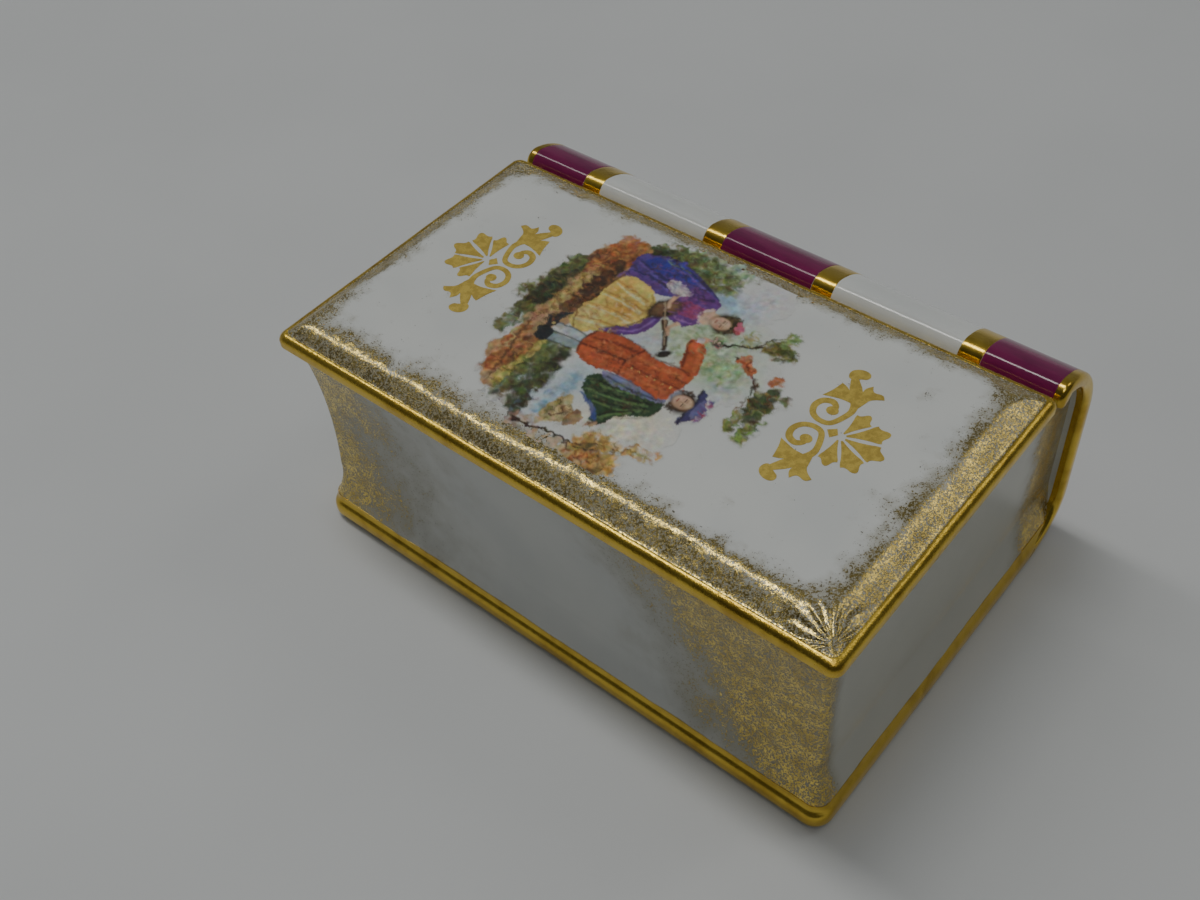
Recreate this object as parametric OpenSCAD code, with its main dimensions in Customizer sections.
// Book-shaped porcelain trinket box: a hollow case cast as a closed book, a loose lid that is the
// book's front cover, and the gilding, enamel and transfers fired onto them.
// Millimetres. +X runs along the spine, +Y from the fore-edge to the spine, +Z up.
// The origin is the middle of the footprint, on the surface that the box stands on.

/* [Book] */
// Length of the cover boards, along the spine
length = 100; // [80:1:130]
// Depth over all, from the fore-edge of the boards to the back of the spine
depth = 70; // [60:1:90]
// Height of the page block's rim, which the lid rests on
seat_z = 39; // [34:1:48]
// Width of the open groove between the lid and the spine
groove_w = 1.2; // [1:0.1:2]

/* [Bottom board] */
// Thickness of the bottom board, which is rounded underneath
board_t = 3.6; // [3:0.1:4.2]
// Plan radius of the bottom board's corners
board_corner_r = 3; // [1.5:0.5:3.5]
// Depth of the recess inside the foot ring
foot_recess = 0.8; // [0.4:0.1:1.2]
// Width of the foot ring
foot_w = 4; // [3.5:0.5:6]

/* [Page block] */
// Overhang of the boards beyond the ends of the page block
overhang = 2.5; // [2:0.1:3]
// Depth of the hollow in the fore-edge, at its deepest
fore_hollow = 3.3; // [3:0.1:3.6]
// Radius of that hollow, in side view
fore_r = 81; // [70:1:100]
// Radius of the flare at the foot of the walls
flare_r = 14; // [12:1:15]
// Thickness of the porcelain walls
wall = 2.8; // [2.4:0.1:3.4]
// Width of the ledge behind the well, which carries the back of the lid
ledge_w = 6.6; // [5:0.2:9]

/* [Spine] */
// Depth of the spine from the groove to its back
spine_d = 13.4; // [12.6:0.2:14]
// Radius of the spine's roll at the top
roll_r = 13; // [12:0.5:13.5]
// Radius of the spine's lower edge
heel_r = 10; // [9:0.5:11]
// Thickness of the cover round the spine
cover_t = 2.4; // [2:0.1:2.8]

/* [Lid] */
// Height of the lid's gilded rim
rim_h = 2.4; // [2:0.1:3]
// Height of the raised panel above the top of the rim
panel_rise = 1.6; // [1.2:0.1:2]
// Plan radius of the lid's corners
lid_corner_r = 2; // [1:0.5:3]
// Depth of the locating rim under the lid
locate_h = 3; // [2:0.5:5]
// Gap between the locating rim and the walls of the well
locate_gap = 0.5; // [0.4:0.05:0.8]
// Plate thickness of the lid above its underside pocket
plate_t = 2.7; // [2.4:0.1:3]

/* [Decoration] */
// Thickness of the gilding and the enamel
skin = 0.15; // [0.1:0.05:0.2]
// Thickness of the transfers on the lid
print_t = 0.1; // [0.05:0.05:0.15]
// Height of the gilding up the foot of the walls
foot_gilt_z = 5; // [4.6:0.1:6]
// Length of the gold caps at the ends of the spine
cap_l = 1.7; // [1.2:0.1:2.4]
// Length of each enamel panel at the ends of the spine
end_panel_l = 11.3; // [9:0.1:12]
// Length of the middle enamel panel
mid_panel_l = 16.8; // [12:0.2:20]
// Length of the gold band beside each panel
band_l = 3.6; // [2:0.1:4]

/* [Hidden] */
$fn = 96;

white = [0.93, 0.94, 0.93];
gold = [0.83, 0.62, 0.22];
maroon = [0.38, 0.08, 0.25];

// Slack that keeps cutting shapes clear of the faces that they pass through
eps = 1;
// The skins stop this far above the surface that the box stands on
skin_low = 0.4;
// The lid floats this far above its seat, so that two rough rims don't bite
seat_gap = 0.05;

half_l = length / 2;
groove_y = depth - spine_d;
lid_d = groove_y - groove_w;
roll_y = depth - roll_r;
roll_z = seat_z + 2.1 - roll_r;
heel_y = depth - heel_r;
ledge_z = seat_z - locate_h;

// The roll turns down into the groove round a small nose that touches it from inside
nose_r = 2.5;
nose_y = groove_y + nose_r;
nose_z = roll_z + sqrt(pow(roll_r - nose_r, 2) - pow(nose_y - roll_y, 2));
nose_end_y = roll_y + (nose_y - roll_y) * roll_r / (roll_r - nose_r);

// The lower edge of the bottom board is rounded up to this height
board_round = 1.8;

// The spine's lip reaches this far down into the groove
lip_z = seat_z - 1;

// Inside radius of the heel, so that the cover thickens into the bottom board
heel_in_r = heel_r - board_t;
heel_in_y = depth - cover_t - heel_in_r;

// Well: its front, back and half-length
well_front = fore_hollow + wall;
well_back = groove_y - ledge_w;
well_half = half_l - overhang - wall;

// Fore-edge hollow and the flares at the foot of the walls, in side view
hollow_z = seat_z * 0.56;
flare_z = board_t + 8.4;
// Centre of the fore-edge's flare, which starts where the hollow has come down to flare_z
function flare_y(inset) = fore_hollow - fore_r - flare_r - inset
    + sqrt(pow(fore_r + inset, 2) - pow(hollow_z - flare_z, 2));

// Lid heights
lid_z = seat_z + seat_gap;
rim_top_z = lid_z + rim_h;
panel_z = rim_top_z + panel_rise;
pocket_z = panel_z - plate_t;
rim_round = 0.9;
cove_end = 4.6;

// Turns a side view, drawn as y and z, into a bar along X of the stated half-length
module along_x(half) {
    translate([-half, 0, 0]) rotate([90, 0, 90]) linear_extrude(2 * half) children();
}

// Turns an end view, drawn as x and z, into a bar along Y over the whole depth
module along_y() {
    translate([0, depth + eps, 0]) rotate([90, 0, 0]) linear_extrude(depth + 2 * eps) children();
}

// Puts a shape that is measured from the fore-edge into the box's own frame
module placed() {
    translate([0, -depth / 2, 0]) children();
}

// Rectangle centred on x, from y0 to y1, with round corners
module rounded_plan(half, y0, y1, r) {
    union() {
        translate([-half + r, y0]) square([2 * (half - r), y1 - y0]);
        translate([-half, y0 + r]) square([2 * half, y1 - y0 - 2 * r]);
        for (x = [-half + r, half - r], y = [y0 + r, y1 - r]) translate([x, y]) circle(r);
    }
}

// ---- Bottom board ----

// Side view of the board, drawn in by inset: round below, upright above where the walls flare out
module board_side(inset) {
    translate([board_round, board_round]) circle(board_round - inset);
    translate([inset, board_round]) square([board_round, board_t - board_round]);
    translate([board_round, 0]) square([heel_y - board_round, board_t]);
}

module board_end(inset) {
    for (side = [-1, 1]) {
        translate([side * (half_l - board_round), board_round]) circle(board_round - inset);
    }
    translate([-half_l + board_round, 0]) square([length - 2 * board_round, board_t]);
    translate([-half_l + inset, board_round]) square([length - 2 * inset, board_t - board_round]);
}

module board_solid(inset) {
    intersection() {
        along_x(half_l) board_side(inset);
        along_y() board_end(inset);
        linear_extrude(board_t) rounded_plan(half_l - inset, inset, depth + eps, board_corner_r);
    }
}

module bottom_board() {
    color(white) placed() difference() {
        board_solid(skin);
        translate([0, 0, -eps]) linear_extrude(foot_recess + eps)
            rounded_plan(half_l - board_round - foot_w, board_round + foot_w, heel_y - foot_w, 3);
    }
}

// ---- Spine cover ----

// Outside of the spine in side view, drawn in by inset
module spine_outline(inset) {
    union() {
        intersection() {
            translate([roll_y, roll_z]) circle(roll_r - inset);
            translate([nose_end_y, 0]) square([depth, 2 * seat_z]);
        }
        translate([nose_y, nose_z]) circle(nose_r - inset);
        translate([groove_y + inset, lip_z]) square([nose_end_y - groove_y - inset, nose_z - lip_z]);
        translate([nose_y, nose_z]) square([nose_end_y - nose_y, nose_r / 2]);
        translate([heel_y, heel_r - inset]) square([heel_r - inset, roll_z - heel_r + inset]);
        translate([heel_y, heel_r - inset]) circle(heel_r - inset);
    }
}

// Space inside the spine cover, down to the top of the bottom board
module spine_inside() {
    union() {
        intersection() {
            translate([roll_y, roll_z]) circle(roll_r - cover_t);
            translate([groove_y + cover_t, 0]) square([depth, 2 * seat_z]);
        }
        translate([well_back, board_t + heel_in_r])
            square([depth - cover_t - well_back, roll_z - board_t - heel_in_r]);
        translate([well_back, board_t]) square([heel_in_y - well_back, lip_z - board_t]);
        translate([heel_in_y, board_t + heel_in_r]) circle(heel_in_r);
        intersection() {
            translate([well_back, roll_z]) square([depth, lip_z - roll_z]);
            translate([roll_y, roll_z]) circle(roll_r - cover_t);
        }
    }
}

// Cover wrapped round the back of the page block, from the bottom board to the groove
module spine_shell(inset) {
    difference() {
        spine_outline(inset);
        spine_inside();
        translate([-eps, -eps]) square([heel_y + eps, lip_z + eps]);
    }
}

module spine_cover() {
    color(white) placed() along_x(half_l - skin) spine_shell(skin);
}

// ---- Page block ----

// Walls in side view: hollow fore-edge, flared foot, and a back that fills the spine cover
module page_side(inset) {
    difference() {
        union() {
            translate([0, board_t]) square([groove_y + skin, seat_z - board_t]);
            spine_inside();
        }
        intersection() {
            translate([fore_hollow - fore_r, hollow_z]) circle(fore_r + inset, $fn = 360);
            translate([-flare_r, flare_z - eps]) square([3 * flare_r, 2 * seat_z]);
        }
        translate([flare_y(inset), flare_z]) circle(flare_r + inset, $fn = 180);
    }
}

// Walls in end view: upright, with a flared foot
module page_end(inset) {
    difference() {
        translate([-half_l, board_t]) square([length, seat_z - board_t + eps]);
        for (side = [-1, 1]) {
            translate([side * (half_l - overhang + flare_r), flare_z])
                circle(flare_r + inset, $fn = 180);
            translate([side * (half_l - overhang + flare_r), flare_z + seat_z])
                square([2 * (flare_r + inset), 2 * seat_z], center = true);
        }
    }
}

module page_solid(inset) {
    intersection() {
        along_x(half_l) page_side(inset);
        along_y() page_end(inset);
        linear_extrude(2 * seat_z) rounded_plan(half_l - inset, inset, depth + eps, board_corner_r);
    }
}

module page_block() {
    color(white) placed() difference() {
        page_solid(skin);
        translate([-well_half, well_front, 0]) cube([2 * well_half, depth, ledge_z]);
        linear_extrude(seat_z + eps) rounded_plan(well_half, well_front, well_back, 2);
    }
}

// ---- Gilding and enamel on the case ----

module bottom_board_gilding() {
    color(gold) placed() intersection() {
        union() {
            difference() {
                board_solid(0);
                board_solid(skin);
            }
            difference() {
                page_solid(0);
                page_solid(skin);
            }
        }
        translate([-length, -eps, skin_low]) cube([2 * length, heel_y + eps, foot_gilt_z - skin_low]);
    }
}

// Skin on the spine between two positions along X
module spine_skin(x0, x1) {
    placed() translate([x0, 0, 0]) rotate([90, 0, 90]) linear_extrude(x1 - x0) difference() {
        spine_outline(0);
        spine_outline(skin);
        translate([-eps, -eps]) square([heel_y + eps, lid_z + eps]);
        translate([-eps, -eps]) square([2 * depth, skin_low + eps]);
    }
}

// Gold cap: it wraps the last of the spine and the cut end of its cover
module spine_cap(side) {
    color(gold) placed() intersection() {
        difference() {
            along_x(half_l) spine_shell(0);
            along_x(half_l - skin) spine_shell(skin);
        }
        translate([side * half_l - cap_l, 0, skin_low]) cube([2 * cap_l, depth + eps, 2 * seat_z]);
    }
}

cap_x = half_l - cap_l;
end_panel_x = cap_x - end_panel_l;

module spine_cap_left() { spine_cap(-1); }
module spine_cap_right() { spine_cap(1); }
module spine_panel_left() { color(maroon) spine_skin(-cap_x, -end_panel_x); }
module spine_panel_middle() { color(maroon) spine_skin(-mid_panel_l / 2, mid_panel_l / 2); }
module spine_panel_right() { color(maroon) spine_skin(end_panel_x, cap_x); }
module spine_band_outer_left() { color(gold) spine_skin(-end_panel_x, -end_panel_x + band_l); }
module spine_band_outer_right() { color(gold) spine_skin(end_panel_x - band_l, end_panel_x); }
module spine_band_inner_left() {
    color(gold) spine_skin(-mid_panel_l / 2 - band_l, -mid_panel_l / 2);
}
module spine_band_inner_right() {
    color(gold) spine_skin(mid_panel_l / 2, mid_panel_l / 2 + band_l);
}

// ---- Lid ----

// Lid margin as points of distance from the edge and height: rounded rim, cove, crease
crease_s = cove_end + 0.7;
cove_rise = panel_rise - 0.25;
cove_run = cove_end - rim_round;
cove_tilt = atan(cove_rise / cove_run);
cove_half = 12;
cove_r = norm([cove_run, cove_rise]) / (2 * sin(cove_half));
function rim_point(a, inset) = [rim_round - (rim_round - inset) * cos(a),
    rim_top_z - rim_round + rim_round * sin(a)];
function cove_point(a) = [rim_round + cove_r * (sin(cove_tilt + a) - sin(cove_tilt - cove_half)),
    rim_top_z - cove_r * (cos(cove_tilt + a) - cos(cove_tilt - cove_half))];
function margin(inset) = concat([[inset, lid_z]],
    [for (a = [0:18:90]) rim_point(a, inset)],
    [for (a = [-8:4:12]) cove_point(a)], [[crease_s, panel_z]]);

// Lid in section across a stated width
module lid_section(width, inset) {
    near = margin(inset);
    far = [for (i = [len(near) - 1:-1:0]) [width - near[i][0], near[i][1]]];
    polygon(concat(near, far));
}

module lid_solid(inset) {
    intersection() {
        along_x(half_l) lid_section(lid_d, inset);
        along_y() translate([-half_l, 0]) lid_section(length, inset);
        linear_extrude(2 * seat_z) rounded_plan(half_l - inset, inset, lid_d - inset, lid_corner_r);
    }
}

module lid_board() {
    locate_half = well_half - locate_gap;
    locate_front = well_front + locate_gap;
    locate_back = well_back - locate_gap;
    locate_t = 1.8;
    color(white) placed() difference() {
        union() {
            lid_solid(skin);
            translate([0, 0, ledge_z + locate_gap]) linear_extrude(locate_h + rim_h / 2)
                rounded_plan(locate_half, locate_front, locate_back, 2 - locate_gap);
        }
        translate([0, 0, ledge_z]) linear_extrude(pocket_z - ledge_z)
            rounded_plan(locate_half - locate_t, locate_front + locate_t, locate_back - locate_t, 1);
    }
}

module lid_rim_gilding() {
    color(gold) placed() intersection() {
        difference() {
            lid_solid(0);
            lid_solid(skin);
        }
        translate([-length, -eps, 0]) cube([2 * length, 2 * depth, rim_top_z]);
    }
}

// ---- Transfers ----

module printed(x, y) {
    placed() translate([x, y, panel_z]) linear_extrude(print_t) children();
}

// The transfers sit a little off the lid's middle, with the ornaments' hubs this far to each side
print_x = -1.6;
ornament_reach = 31.8;
ornament_y = lid_d / 2 + 2.3;

// Vignette: a ragged oval of overlapping rounds, each given as x, y and radius
vignette_rounds = [[-6, 0, 19], [4, 1, 16], [-4, 5, 17], [-13, -2, 11], [12, 4, 9], [5, -10, 9],
    [-8, -11, 10], [-16, 6, 8], [2, 13, 9]];
module picture_transfer() {
    color([0.45, 0.5, 0.3]) printed(print_x, lid_d / 2) union() {
        for (r = vignette_rounds) translate([r[0], r[1]]) circle(r[2]);
    }
}

// Palmette of five leaves that fans towards +X, over a pair of scrolls that end in leafy tails
leaf_half = [[1.3, 0], [3, 0.75], [4.4, 1.35], [5.6, 1.7], [5.9, 0.95], [7.5, 0]];
leaf_turns = [-74, -38, 0, 38, 74];
tail = [[-1.9, 3.6], [-0.9, 4.4], [-0.8, 6.4], [-0.4, 8], [1, 9.2], [1, 10.2], [-0.4, 10], [-1.6, 9],
    [-2.6, 10.4], [-3, 12.2], [-4.2, 12.5], [-5.1, 11.8], [-5.4, 10], [-5.1, 8.6], [-5.8, 7.2],
    [-5.9, 5.6], [-4.6, 6.3], [-3, 6.1], [-1.9, 5.2]];
scroll_at = [-3.6, 3.2];
module ornament() {
    for (turn = leaf_turns, flip = [0, 1]) rotate(turn) mirror([0, flip]) polygon(leaf_half);
    translate([-0.8, 0]) rotate(45) square(1, center = true);
    for (flip = [0, 1]) mirror([0, flip]) {
        translate(scroll_at) difference() {
            circle(2.5);
            circle(1.6);
        }
        translate(scroll_at) circle(0.9);
        polygon(tail);
    }
}

module ornament_transfer_left() {
    color(gold) printed(print_x - ornament_reach, ornament_y) mirror([1, 0]) ornament();
}
module ornament_transfer_right() {
    color(gold) printed(print_x + ornament_reach, ornament_y) ornament();
}

bottom_board();
page_block();
spine_cover();
bottom_board_gilding();
spine_cap_left();
spine_cap_right();
spine_panel_left();
spine_panel_middle();
spine_panel_right();
spine_band_outer_left();
spine_band_inner_left();
spine_band_inner_right();
spine_band_outer_right();
lid_board();
lid_rim_gilding();
picture_transfer();
ornament_transfer_left();
ornament_transfer_right();
